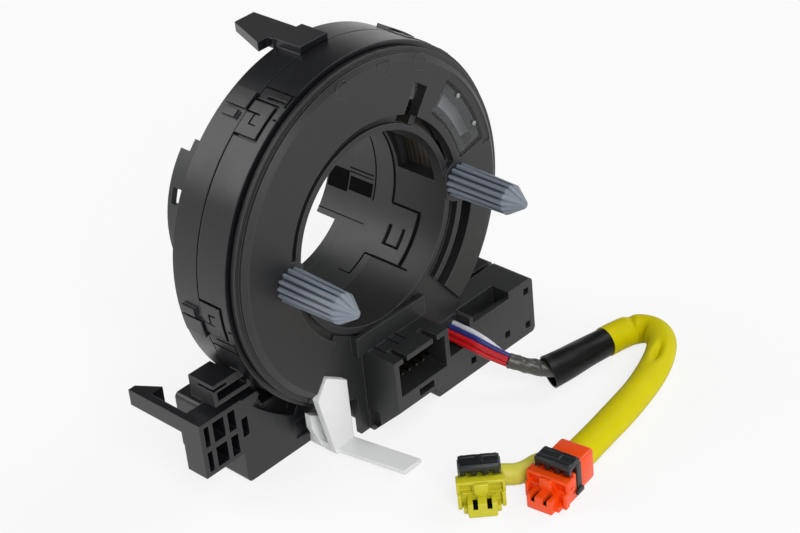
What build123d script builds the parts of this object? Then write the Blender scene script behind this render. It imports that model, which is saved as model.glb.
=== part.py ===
from build123d import *
import math
import os

os.makedirs("parts", exist_ok=True)

# Steering clock spring. The steering axis is Y, the wheel is on the -Y side, up is +Z.
# Lengths are in millimetres. Angles in the wheel plane run from +X towards +Z, in degrees.

# Radial stack, from the bore outwards
bore_radius = 27.7
sleeve_wall = 1.8
ribbon_hub_gap = 3.5
ribbon_thickness = 0.3
ribbon_step = 0.4
ribbon_turns = 2
carrier_inner_gap = 1.4
carrier_width = 8.4
carrier_outer_gap = 2.2
ribbon_case_gap = 0.8
case_wall = 2.4
disc_inset = 1.4
ring_clearance = 0.6

# Stack along the axis, from the wheel side to the column side
disc_face = -2.0
disc_thickness = 3.3
disc_case_gap = 0.7
carrier_set_in = 2.0
ribbon_set_in = 1.0
ribbon_width = 12.0
ribbon_end_gap = 2.3
slip_thickness = 0.5
rear_plate = 2.0
flange_play = 0.4

# Turning disc and hub
hub_rim_recess = 0.8
hub_depth = 20.0
hub_groove = 2.5
hub_groove_depth = 2.2
lip_width = 1.6
lip_recess = 2.0
rim_chamfer = 1.6
rim_step = 0.8
gap_start_angle, gap_end_angle = 232.5, 308.0
gap_margin = 0.9
arc_slot_start_angle, arc_slot_end_angle = 12.0, 50.0
arc_slot_margin = 0.8
limb_slot_start_angle = -12.0
limb_slot_margin = 1.8
limb_slot_width = 4.2
key_slot_length = 11.4
key_slot_width = 5.5
key_slot_offset = 3.0
key_slot_angle = 58.5
key_slot_turn_angle = 54.0
window_start_angle, window_end_angle = 12.0, 44.0
window_inner_margin = 3.2
window_rim_margin = 6.4
window_ledge = 1.0
window_ledge_angle = 1.4
panel_width = 3.4
panel_depth = 0.4
panel_start_angle, panel_end_angle = 8.0, 45.0
lens_thickness = 0.8
lens_fit = 0.1
hub_window_start_angle, hub_window_end_angle = 1.0, 32.0
hub_window_front_margin, hub_window_back_margin = 1.2, 1.5
pin_standoff = 3.0
pin_boss_radius = 6.2

# Stator case
front_case_depth = 10.8
rear_hole_clearance = 1.2
saddle_gap = 0.2
snap_height = 1.0
snap_back_reach = 7.4
snap_ear_front_inset, snap_ear_back_inset = 1.8, 0.8
snaps = ((112.5, 1), (196.0, -1), (45.0, 1), (-6.0, -1))
snap_block_angles = (2.6, 8.6)
snap_ear_angles = (9.6, 12.2)
snap_tongue_height = 0.3
snap_tongue_reach = 7.9
snap_tongue_angles = (4.8, 15.8)
snap_moat_width, snap_moat_angle, snap_moat_depth = 0.8, 0.8, 1.2
snap_hairpin_angles = (2.3, 3.2)
snap_hairpin_reach, snap_hairpin_setback = 9.8, 3.2
snap_slit_angles = (8.4, 8.9)
snap_slit_reach = 5.0
seam_groove_width, seam_groove_depth = 0.5, 0.6
seam_groove_start_angle, seam_groove_end_angle = -48.0, 216.0

# Lower box of the stator
floor_drop = 9.1
box_left_inset, box_right_reach = 4.1, 3.6
box_gap = 1.5
box_height = 18.5
shoulder_height = 26.5
shoulder_width = 7.3
shoulder_slope = 4.0
shoulder_depth = 12.0
box_corner = 1.5
rim_pocket_start_angle, rim_pocket_end_angle = 222.0, 240.0
rim_pocket_width = 4.6
rim_pocket_depth = 3.4
face_window_width, face_window_height = 2.2, 6.0
face_window_inset, face_window_rise = 1.7, 18.0
face_window_depth = 4.0
face_step_left_inset, face_step_right_inset = 18.7, 37.0
face_step_rise = 3.5
face_step_depth = 0.5

# Clip box on the shoulder
clip_reach, clip_width = 7.2, 13.0
clip_rise, clip_height = 3.0, 6.7
clip_depth = 9.5
clip_slot_height = 2.8
clip_slot_inset = 1.3
clip_slot_depth = 6.0
clip_slit_height = 0.9
clip_slit_length = 5.0

# Left bracket and its hook
bracket_reach = 13.7
bracket_rise = 0.5
bracket_height = 17.1
bracket_depth = 7.5
pocket_widths = (1.7, 4.0, 2.6)
pocket_wall = 1.4
pocket_rib = 1.7
pocket_depth = 5.5
arm_length = 21.0
arm_width = 2.4
arm_height = 5.0
arm_barb = 4.2
arm_barb_length = 6.6

# Top hook
hook_rise = 1.8
hook_thickness = 2.8
hook_base_left, hook_base_right = -6.3, 3.8
hook_base_overhang = 0.5
hook_arm_left, hook_arm_right = -6.8, 1.8
hook_arm_length = 16.3
hook_tip_left = -5.2
hook_barb_x = -10.3
hook_barb_setback = 2.1

# Column side socket
column_socket_inset, column_socket_width = 13.3, 24.0
column_socket_rise, column_socket_height = 2.9, 11.0
column_socket_depth = 12.0
column_socket_wall = 2.2

# Terminals
blade_size = 0.8
blade_length = 5.0
blade_rows = 2
blade_row_pitch = 4.0
blade_pitch = 2.8
blade_margin = 2.0
terminal_plate = 1.4
terminal_fit = 0.15

# Slip sheet, carrier and the blocks of the ribbon's ends
slip_inset = 0.6
carrier_play = 0.1
carrier_notch_below, carrier_notch_above = 1.6, 2.4
ribbon_block_angle = 11.0
ribbon_block_margin = 0.45

# Cancelling cam behind the hub
cam_flange = 1.8
cam_standoff = 4.5
cam_wall = 1.8
cam_sleeve_height = 9.0
cam_ring_height = 5.0
cam_step_height = 16.5
cam_lobe_height = 20.0
cam_step_half_angle = 48.0
cam_lobe_half_angle = 42.0
cam_window_angle = 160.0
cam_window_half_angle = 4.0
cam_window_setback, cam_window_height = 1.5, 4.5
tab_angles = (-39.5, 80.5, 200.5)
tab_half_angle = 16.5
tab_length = 10.0
tab_fit = 0.2
tab_window_start_angle, tab_window_end_angle = -8.0, 4.5
tab_window_setback, tab_window_height = 2.6, 6.4
tab_finger_start_angle = -6.8
tab_finger_front_inset, tab_finger_back_inset = 1.2, 1.4

# Drive pins
pin_radius = 4.9
pin_tip_radius = 4.3
pin_cylinder = 19.0
pin_cone = 5.2
pin_nose_radius = 1.0
pin_nose_fillet = 0.8
pin_flutes = 14
flute_radius = 0.75

# Wheel side connector block
wall_recess = 1.6
wall_lip = 1.5
wall_lip_gap = 0.2
wall_lip_drop = 0.1
ring_front_clearance = 0.5
block_saddle = 6.1
socket_reach = 12.6
socket_left, socket_width = -8.0, 18.4
socket_rise, socket_height = 15.0, 10.3
socket_side_wall = 1.6
socket_top_wall = 1.5
socket_lip = 4.7
socket_depth = 10.5
gusset_reach = 1.7
back_wall_left, back_wall_right = -13.0, 14.0
keyway_width, keyway_depth = 1.7, 6.0
keyway_insets = (2.6, 14.6)
latch_window_width, latch_window_height, latch_window_depth = 6.0, 2.4, 4.0
latch_window_inset, latch_window_drop = 9.8, 2.5
groove_width, groove_depth = 0.8, 0.8
groove_insets = (1.2, 6.4, 9.4)
side_pocket_depth = 1.2
side_pocket_spans = ((-4.6, -0.8), (0.2, 6.0))
side_pocket_rise, side_pocket_height = 1.9, 5.2
harness_box_reach = 5.9
tray_right_inset, tray_width = 10.5, 15.5
tray_rise = 12.5
tray_wall = 1.8
tray_length = 6.3
tray_dip = 2.2
wire_port_wall = 1.4
wire_port_rise = 10.5
wire_port_depth = 5.3
square_hole = 2.2
square_hole_depth = 2.0
square_hole_places = ((3.0, 14.9), (3.0, 3.3), (12.0, 4.8), (27.0, 4.2))

# Shipping lock tab
lock_left, lock_right = -25.0, -18.0
lock_top_rise = 22.3
lock_edge_angle = 0.8
lock_top_inset, lock_edge_inset = 8.0, 1.2
lock_thickness = 2.2
lock_sole = 2.4
lock_foot_left = -28.0
lock_foot_gap = 0.8
lock_foot_clearance = 2.4
lock_foot_height = 4.6
lock_tail_length = 23.6
lock_tail_width = 6.4
lock_tail_drift = 4.0
lock_tail_thickness = 1.4

# Harness route, hand chosen points along the centre line
wire_diameter = 1.6
wire_lay = 0.86
tape_diameter = 4.6
sleeve_diameter = 10.0
tube_diameter = 9.0
branch_diameter = 6.0
wire_points = [(24.6, -8.6, -46.6), (26.4, -14.6, -49.2)]
tape_start = (28.2, -19.6, -51.0)
tape_points = [(30.36, -25.6, -53.16), (32.45, -27.96, -55.5)]
sleeve_start = (36.4, -28.6, -55.5)
sleeve_end = (56.2, -31.8, -55.5)
tube_points = [(60.5, -32.5, -55.5), (67.0, -34.6, -55.5), (68.8, -41.0, -55.5), (62.8, -47.6, -55.5),
               (47.4, -53.4, -55.5), (26.0, -57.2, -55.5)]
tube_end = (7.0, -59.6, -55.5)
branch_start = (14.2, -57.6, -55.5)
branch_points = [(8.6, -50.6, -55.5), (-3.6, -50.6, -55.5)]
branch_end = (-7.15, -47.05, -55.5)

# Squib plugs on the harness
plug_axis_height = 5.0
plug_length = 16.6
plug_width = 11.0
plug_height = 8.4
plug_rear_length = 4.0
plug_rear_inset = 1.0
plug_collar = 4.8
plug_collar_grow = 1.1
plug_collar_rise = 3.2
plug_collar_slot_width, plug_collar_slot_depth = 2.6, 1.2
plug_corner = 0.8
plug_nose_width, plug_nose_height = 7.8, 6.2
plug_nose_length = 4.4
plug_nose_corner = 1.8
plug_hole_width, plug_hole_height, plug_hole_depth = 1.5, 2.6, 3.0
plug_hole_spacing = 3.6
plug_side_entry = 4.2
plug_side_gap = 0.3
plug_lock_setback = 4.2
plug_lock_length, plug_lock_width = 5.4, 11.0
plug_lock_cap = 1.9
plug_lock_lift = 1.4
plug_lock_corner = 0.7
plug_lock_leg_length, plug_lock_leg_width, plug_lock_leg_thickness = 7.0, 2.2, 1.3
plug_lock_fit = 0.15

sleeve_radius = bore_radius + sleeve_wall
ribbon_coil = 2 * ribbon_turns * ribbon_step
ribbon_inner_radius = sleeve_radius + ribbon_hub_gap + ribbon_coil
carrier_inner = ribbon_inner_radius + carrier_inner_gap
carrier_outer = carrier_inner + carrier_width
ribbon_outer_radius = carrier_outer + carrier_outer_gap + ribbon_coil
case_inner_radius = ribbon_outer_radius + ribbon_case_gap
case_radius = case_inner_radius + case_wall
disc_radius = case_radius - disc_inset
sweep_radius = case_radius + ring_clearance
disc_inner_radius = sleeve_radius + hub_groove
gap_inner_radius = sleeve_radius + gap_margin
pin_circle_radius = sleeve_radius + pin_standoff
window_inner = disc_inner_radius + window_inner_margin
window_outer = disc_radius - window_rim_margin
rear_hole_radius = sleeve_radius + rear_hole_clearance
cam_radius = sleeve_radius + cam_standoff

disc_back = disc_face + disc_thickness
hub_front = disc_face + hub_rim_recess
hub_joint = disc_face + hub_depth
case_front = disc_back + disc_case_gap
seam_y = case_front + front_case_depth
carrier_front = case_front + carrier_set_in
ribbon_front = carrier_front + ribbon_set_in
ribbon_back = ribbon_front + ribbon_width
slip_front = ribbon_back + ribbon_end_gap
rear_plate_front = slip_front + slip_thickness
case_back = rear_plate_front + rear_plate
cam_flange_front = case_back + flange_play
cam_flange_back = cam_flange_front + cam_flange
block_wall_front = disc_face + wall_recess
block_back = case_front - ring_front_clearance
block_rear = block_back + block_saddle
box_front = block_rear + box_gap
box_back = case_back + column_socket_wall + column_socket_depth

floor_z = -case_radius - floor_drop
box_left = box_left_inset - case_radius
box_right = case_radius + box_right_reach
box_top = floor_z + box_height
shoulder_top = floor_z + shoulder_height
bracket_left = box_left - bracket_reach
bracket_right = box_left + box_corner
bracket_top = shoulder_top + bracket_rise
bracket_bottom = bracket_top - bracket_height
column_socket_left = box_left + column_socket_inset
column_socket_bottom = floor_z + column_socket_rise

socket_front = block_wall_front - socket_reach
socket_right = socket_left + socket_width
socket_bottom = floor_z + socket_rise
socket_top = socket_bottom + socket_height
socket_body_left = socket_left - socket_side_wall
socket_body_right = socket_right + socket_side_wall
socket_body_top = socket_top + socket_top_wall
socket_body_bottom = socket_bottom - socket_lip
harness_box_front = block_wall_front - harness_box_reach
tray_right = box_right - tray_right_inset
tray_left = tray_right - tray_width
tray_back = harness_box_front + tray_length
wire_port_right = tray_left - wire_port_wall
wire_port_back = harness_box_front + wire_port_depth


def wheel_plane(y):
    return Plane.XZ.offset(-y)


def put(outline, y_front, y_back, mode=Mode.ADD):
    extrude(outline.sketch, amount=y_back - y_front, mode=mode)


def ring(outer, inner, y_front, y_back, mode=Mode.ADD):
    with BuildSketch(wheel_plane(y_back)) as outline:
        Circle(outer)
        if inner:
            Circle(inner, mode=Mode.SUBTRACT)
    put(outline, y_front, y_back, mode)


def sector(outer, inner, start, end, y_front, y_back, mode=Mode.ADD):
    with BuildSketch(wheel_plane(y_back)) as outline:
        with BuildLine():
            rim = CenterArc((0, 0), outer, start, end - start)
            hub = CenterArc((0, 0), inner, start, end - start)
            Line(rim @ 0, hub @ 0)
            Line(rim @ 1, hub @ 1)
        make_face()
    put(outline, y_front, y_back, mode)


def snap_sector(snap, angles, height, y_front, y_back, mode=Mode.ADD):
    datum_angle, facing = snap
    start_angle, end_angle = sorted(datum_angle + facing * angle for angle in angles)
    sector(case_radius + height, case_radius - snap_moat_depth, start_angle, end_angle, y_front, y_back, mode)


def polar(radius, angle):
    return (radius * math.cos(math.radians(angle)), radius * math.sin(math.radians(angle)))


def plate(points, y_front, y_back):
    with BuildSketch(wheel_plane(y_back)) as outline:
        Polygon(*points, align=None)
    put(outline, y_front, y_back)


def slab(x_span, y_span, z_span, mode=Mode.ADD, corner=0):
    width = x_span[1] - x_span[0]
    height = z_span[1] - z_span[0]
    with BuildSketch(wheel_plane(y_span[1])) as outline:
        with Locations(((x_span[0] + x_span[1]) / 2, (z_span[0] + z_span[1]) / 2)):
            if corner:
                RectangleRounded(width, height, corner)
            else:
                Rectangle(width, height)
    put(outline, y_span[0], y_span[1], mode)


def flat(points, z_top, thickness):
    with BuildSketch(Plane.XY.offset(z_top)) as outline:
        Polygon(*points, align=None)
    extrude(outline.sketch, amount=-thickness)


def terminal_holder(left, bottom, width, height, y_floor, facing):
    x_span = (left + terminal_fit, left + width - terminal_fit)
    z_span = (bottom + terminal_fit, bottom + height - terminal_fit)
    y_top = y_floor + facing * terminal_plate
    y_tip = y_top + facing * blade_length
    slab(x_span, sorted((y_floor, y_top)), z_span)
    centre = ((x_span[0] + x_span[1]) / 2, (z_span[0] + z_span[1]) / 2)
    blades = 1 + int((width - 2 * blade_margin) / blade_pitch)
    with BuildSketch(wheel_plane(max(y_floor, y_tip))) as outline:
        with Locations(centre):
            with GridLocations(blade_pitch, blade_row_pitch, blades, blade_rows):
                Rectangle(blade_size, blade_size)
    put(outline, min(y_floor, y_tip), max(y_floor, y_tip))


def corner_radii(points):
    radii = []
    for before, here, after in zip(points, points[1:], points[2:]):
        run_in = Vector(here) - Vector(before)
        run_out = Vector(after) - Vector(here)
        half_turn = math.radians(run_in.get_angle(run_out)) / 2
        radii.append(0.45 * min(run_in.length, run_out.length) / math.tan(half_turn))
    return radii


def tube(name, points, diameter):
    radii = corner_radii(points)
    with BuildLine() as route:
        if radii:
            FilletPolyline(*points, radius=radii)
        else:
            Polyline(*points)
    path = route.wire()
    with BuildSketch(Plane(origin=path @ 0, z_dir=path % 0)) as section:
        Circle(diameter / 2)
    sweep(section.sketch, path=path)
    print(name, "length", round(path.length, 1), "radii", [round(radius, 1) for radius in radii])


def save(part, name):
    part.label = name
    export_step(part, f"parts/{name}.step")


# Front half of the stator case with its lower box, moulded as one
with BuildPart() as stator_case:
    ring(case_radius, case_inner_radius, case_front, seam_y)
    slab((box_left, box_right), (box_front, box_back), (floor_z, box_top), corner=box_corner)
    shoulder_right = box_left + shoulder_width
    plate([(box_left, floor_z + box_corner), (shoulder_right + shoulder_slope, floor_z + box_corner),
           (shoulder_right + shoulder_slope, box_top), (shoulder_right, shoulder_top), (box_left, shoulder_top)],
          box_front, box_front + shoulder_depth)
    clip_left = box_left - clip_reach
    clip_right = clip_left + clip_width
    clip_bottom = shoulder_top + clip_rise
    slab((clip_left, clip_right), (box_front, box_front + clip_depth), (clip_bottom, clip_bottom + clip_height))
    slab((bracket_left, bracket_right), (box_front, box_front + bracket_depth), (bracket_bottom, bracket_top))
    tongue_front = seam_y - snap_tongue_reach
    tongue_start, tongue_end = snap_tongue_angles
    moat_start = tongue_start - snap_moat_angle
    moat_end = tongue_end + snap_moat_angle
    for snap in snaps:
        snap_sector(snap, snap_tongue_angles, snap_tongue_height, tongue_front, seam_y)
        for moat_angles in ((moat_start, tongue_start), (tongue_end, moat_end)):
            snap_sector(snap, moat_angles, snap_height, tongue_front, seam_y, Mode.SUBTRACT)
        snap_sector(snap, (moat_start, moat_end), snap_height, tongue_front - snap_moat_width, tongue_front,
                    Mode.SUBTRACT)
        snap_sector(snap, snap_hairpin_angles, snap_height, seam_y - snap_hairpin_reach,
                    seam_y - snap_hairpin_setback, Mode.SUBTRACT)
        snap_sector(snap, snap_slit_angles, snap_height, seam_y - snap_slit_reach, seam_y, Mode.SUBTRACT)
    sector(case_radius + snap_height, case_radius - seam_groove_depth, seam_groove_start_angle,
           seam_groove_end_angle, seam_y - seam_groove_width, seam_y, Mode.SUBTRACT)
    ring(case_inner_radius, 0, case_front, case_back, Mode.SUBTRACT)
    ring(case_radius + snap_height + saddle_gap, 0, seam_y, case_back + saddle_gap, Mode.SUBTRACT)
    sector(sweep_radius + rim_pocket_width, case_radius, rim_pocket_start_angle, rim_pocket_end_angle,
           box_front, box_front + rim_pocket_depth, Mode.SUBTRACT)
    face_window_x = box_left + face_window_inset
    face_window_z = floor_z + face_window_rise
    slab((face_window_x - face_window_width / 2, face_window_x + face_window_width / 2),
         (box_front, box_front + face_window_depth),
         (face_window_z - face_window_height / 2, face_window_z + face_window_height / 2), Mode.SUBTRACT)
    slab((box_left + face_step_left_inset, box_left + face_step_right_inset),
         (box_front, box_front + face_step_depth), (floor_z + face_step_rise, -case_radius), Mode.SUBTRACT)
    slot_bottom = clip_bottom + clip_slot_inset
    slab((clip_left + clip_slot_inset, clip_right - clip_slot_inset), (box_front, box_front + clip_slot_depth),
         (slot_bottom, slot_bottom + clip_slot_height), Mode.SUBTRACT)
    slit_bottom = slot_bottom + clip_slot_height + clip_slot_inset / 2
    slab((clip_left, clip_left + clip_slit_length), (box_front, box_front + clip_slot_depth),
         (slit_bottom, slit_bottom + clip_slit_height), Mode.SUBTRACT)
    pocket_height = (bracket_height - 2 * pocket_wall - pocket_rib) / 2
    pocket_x = bracket_left + pocket_wall
    for pocket_width in pocket_widths:
        for pocket_z in (bracket_bottom + pocket_wall, bracket_top - pocket_wall - pocket_height):
            slab((pocket_x, pocket_x + pocket_width), (box_front, box_front + pocket_depth),
                 (pocket_z, pocket_z + pocket_height), Mode.SUBTRACT)
        pocket_x += pocket_width + pocket_wall
    arm_start = box_front + bracket_depth
    arm_end = arm_start + arm_length
    arm_inner = bracket_left + arm_width
    flat([(bracket_left, arm_start - bracket_depth / 2), (arm_inner, arm_start - bracket_depth / 2),
          (arm_inner, arm_end - arm_barb_length), (arm_inner + arm_barb, arm_end - arm_barb_length),
          (arm_inner, arm_end), (bracket_left, arm_end)], bracket_top, arm_height)
    slab((column_socket_left, column_socket_left + column_socket_width),
         (box_back - column_socket_depth, box_back),
         (column_socket_bottom, column_socket_bottom + column_socket_height), Mode.SUBTRACT)

# Rear half of the stator case with the top hook
with BuildPart() as rear_case:
    ring(case_radius, case_inner_radius, seam_y, case_back)
    ring(case_inner_radius, rear_hole_radius, rear_plate_front, case_back)
    snap_back = seam_y + snap_back_reach
    for snap in snaps:
        snap_sector(snap, snap_block_angles, snap_height, seam_y, snap_back)
        snap_sector(snap, snap_ear_angles, snap_height, seam_y + snap_ear_front_inset,
                    snap_back - snap_ear_back_inset)
    hook_base_back = case_back + hook_base_overhang
    hook_barb_y = hook_base_back + hook_barb_setback
    hook_tip_y = hook_base_back + hook_arm_length
    flat([(hook_base_left, seam_y), (hook_base_right, seam_y), (hook_base_right, hook_base_back),
          (hook_arm_right, hook_base_back), (hook_arm_right, hook_tip_y), (hook_tip_left, hook_tip_y),
          (hook_barb_x, hook_barb_y), (hook_arm_left, hook_barb_y), (hook_arm_left, hook_base_back),
          (hook_base_left, hook_base_back)], case_radius + hook_rise, hook_thickness)
    ring(case_inner_radius, 0, seam_y, rear_plate_front, Mode.SUBTRACT)

# Contacts in the column side socket
with BuildPart() as column_terminals:
    terminal_holder(column_socket_left, column_socket_bottom, column_socket_width, column_socket_height,
                    box_back - column_socket_depth, 1)

# Sheet that the carrier slides on
with BuildPart() as slip_sheet:
    ring(case_inner_radius - slip_inset, rear_hole_radius, slip_front, rear_plate_front)

# Block that holds the outer ribbon end to the case wall
with BuildPart() as ribbon_block_stator:
    sector(case_inner_radius, ribbon_outer_radius - ribbon_block_margin, -ribbon_block_angle, 0,
           ribbon_front, ribbon_back)

# Flat ribbon cable: outer turns, one return bend, inner turns
with BuildPart() as flat_cable:
    with BuildSketch(wheel_plane(ribbon_back)) as ribbon_outline:
        with BuildLine() as ribbon_route:
            outer_x = ribbon_outer_radius
            for turn in range(ribbon_turns):
                CenterArc((0, 0), outer_x, 0, 180)
                CenterArc((-ribbon_step, 0), outer_x - ribbon_step, 180, 180)
                outer_x -= 2 * ribbon_step
            bend_radius = (outer_x - ribbon_inner_radius) / 2
            CenterArc((outer_x - bend_radius, 0), bend_radius, 0, 180)
            inner_x = ribbon_inner_radius
            for turn in range(ribbon_turns):
                CenterArc((0, 0), inner_x, 0, -180)
                CenterArc((-ribbon_step, 0), inner_x - ribbon_step, 180, -180)
                inner_x -= 2 * ribbon_step
        trace(line_width=ribbon_thickness)
    put(ribbon_outline, ribbon_front, ribbon_back)

# Block that holds the inner ribbon end to the hub
with BuildPart() as ribbon_block_rotor:
    sector(inner_x + ribbon_block_margin, sleeve_radius, -ribbon_block_angle, 0, ribbon_front, ribbon_back)

# Carrier that leads the return bend round
with BuildPart() as carrier_ring:
    carrier_back = slip_front - carrier_play
    ring(carrier_outer, carrier_inner, carrier_front, carrier_back)
    slab((sleeve_radius, carrier_outer + carrier_play), (carrier_front, carrier_back),
         (-carrier_notch_below, bend_radius + carrier_notch_above), Mode.SUBTRACT)

# Front disc with the hub tube
with BuildPart() as rotor_disc:
    lip_inner = disc_radius - lip_width
    lip_front = disc_face + lip_recess
    with BuildSketch(Plane.XY) as disc_profile:
        Polygon((disc_inner_radius, disc_back), (disc_inner_radius, disc_face),
                (lip_inner - rim_chamfer, disc_face), (lip_inner, lip_front - rim_step), (lip_inner, lip_front),
                (disc_radius, lip_front), (disc_radius, disc_back), align=None)
    revolve(disc_profile.sketch, axis=Axis.Y)
    ring(disc_inner_radius, bore_radius, disc_face + hub_groove_depth, disc_back)
    ring(sleeve_radius, bore_radius, hub_front, hub_joint)
    for side in (-1, 1):
        with BuildSketch(wheel_plane(disc_back)) as boss_outline:
            with Locations((side * pin_circle_radius, 0)):
                Circle(pin_boss_radius)
        put(boss_outline, disc_face, disc_back)
    sector(disc_radius + lip_width, gap_inner_radius, gap_start_angle, gap_end_angle, disc_face, disc_back,
           Mode.SUBTRACT)
    sector(disc_inner_radius, sleeve_radius + arc_slot_margin, arc_slot_start_angle, arc_slot_end_angle,
           disc_face, disc_back, Mode.SUBTRACT)
    limb_slot_inner = disc_inner_radius + limb_slot_margin
    sector(limb_slot_inner + limb_slot_width, limb_slot_inner, gap_end_angle - 360, limb_slot_start_angle,
           disc_face, disc_back, Mode.SUBTRACT)
    with BuildSketch(wheel_plane(disc_back)) as key_slot:
        with PolarLocations(disc_inner_radius + key_slot_offset, 1, key_slot_angle):
            Rectangle(key_slot_length, key_slot_width, rotation=key_slot_turn_angle - key_slot_angle)
    put(key_slot, disc_face, disc_back, Mode.SUBTRACT)
    sector(window_outer, window_inner, window_start_angle, window_end_angle, disc_face, disc_back, Mode.SUBTRACT)
    sector(window_outer + window_ledge, window_inner - window_ledge, window_start_angle - window_ledge_angle,
           window_end_angle + window_ledge_angle, disc_face, disc_face + window_ledge, Mode.SUBTRACT)
    sector(window_outer + panel_width, window_outer, panel_start_angle, panel_end_angle, disc_face,
           disc_face + panel_depth, Mode.SUBTRACT)
    ring(bore_radius, 0, disc_face, hub_joint, Mode.SUBTRACT)
    sector(sleeve_radius, bore_radius - tab_fit, hub_window_start_angle, hub_window_end_angle,
           disc_back + hub_window_front_margin, hub_joint - hub_window_back_margin, Mode.SUBTRACT)
    for tab_angle in tab_angles:
        sector(sleeve_radius + tab_fit, bore_radius - tab_fit, tab_angle - tab_half_angle,
               tab_angle + tab_half_angle, hub_joint - tab_length, hub_joint, Mode.SUBTRACT)

# Clear lens in the disc's window
with BuildPart() as window_lens:
    fit_angle = math.degrees(lens_fit / window_inner)
    lens_back = disc_face + window_ledge
    sector(window_outer + window_ledge - lens_fit, window_inner - window_ledge + lens_fit,
           window_start_angle - window_ledge_angle + fit_angle, window_end_angle + window_ledge_angle - fit_angle,
           lens_back - lens_thickness, lens_back)

# Sleeve behind the hub with the cancelling cam
with BuildPart() as cancel_cam:
    ring(sleeve_radius, bore_radius, hub_joint, cam_flange_back + cam_sleeve_height)
    ring(cam_radius, bore_radius, cam_flange_front, cam_flange_back)
    cam_inner = cam_radius - cam_wall
    cam_lobe_back = cam_flange_back + cam_lobe_height
    ring(cam_radius, cam_inner, cam_flange_front, cam_flange_back + cam_ring_height)
    sector(cam_radius, cam_inner, 180 - cam_step_half_angle, 180 + cam_step_half_angle,
           cam_flange_front, cam_flange_back + cam_step_height)
    sector(cam_radius, cam_inner, 180 - cam_lobe_half_angle, 180 + cam_lobe_half_angle,
           cam_flange_front, cam_lobe_back)
    sector(cam_radius + cam_wall, cam_inner - cam_wall, cam_window_angle - cam_window_half_angle,
           cam_window_angle + cam_window_half_angle, cam_lobe_back - cam_window_setback - cam_window_height,
           cam_lobe_back - cam_window_setback, Mode.SUBTRACT)
    tab_front = hub_joint - tab_length + tab_fit
    tab_fit_angle = math.degrees(tab_fit / bore_radius)
    for tab_angle in tab_angles:
        sector(sleeve_radius, bore_radius, tab_angle - tab_half_angle + tab_fit_angle,
               tab_angle + tab_half_angle - tab_fit_angle, tab_front, hub_joint + sleeve_wall)
        window_front = tab_front + tab_window_setback
        window_back = window_front + tab_window_height
        sector(sleeve_radius + tab_fit, bore_radius - tab_fit, tab_angle + tab_window_start_angle,
               tab_angle + tab_window_end_angle, window_front, window_back, Mode.SUBTRACT)
        sector(sleeve_radius, bore_radius, tab_angle + tab_finger_start_angle, tab_angle + tab_half_angle / 2,
               window_front + tab_finger_front_inset, window_back - tab_finger_back_inset)


def drive_pin(x):
    pin_axis = Axis((x, 0, 0), (0, 1, 0))
    cone_start = disc_face - pin_cylinder
    tip = cone_start - pin_cone
    with BuildSketch(Plane.XY) as half_profile:
        Polygon((x, disc_face), (x + pin_radius, disc_face), (x + pin_tip_radius, cone_start),
                (x + pin_nose_radius, tip), (x, tip), align=None)
        fillet(half_profile.vertices().group_by(Axis.Y)[0].sort_by(Axis.X)[-1], pin_nose_fillet)
    revolve(half_profile.sketch, axis=pin_axis)
    with BuildSketch(wheel_plane(disc_face)) as flutes:
        with Locations((x, 0)):
            with PolarLocations(pin_radius, pin_flutes):
                Circle(flute_radius)
    put(flutes, tip, disc_face, Mode.SUBTRACT)


# Fluted drive pins that carry the wheel's pad
with BuildPart() as drive_pin_left:
    drive_pin(-pin_circle_radius)
with BuildPart() as drive_pin_right:
    drive_pin(pin_circle_radius)

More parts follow.
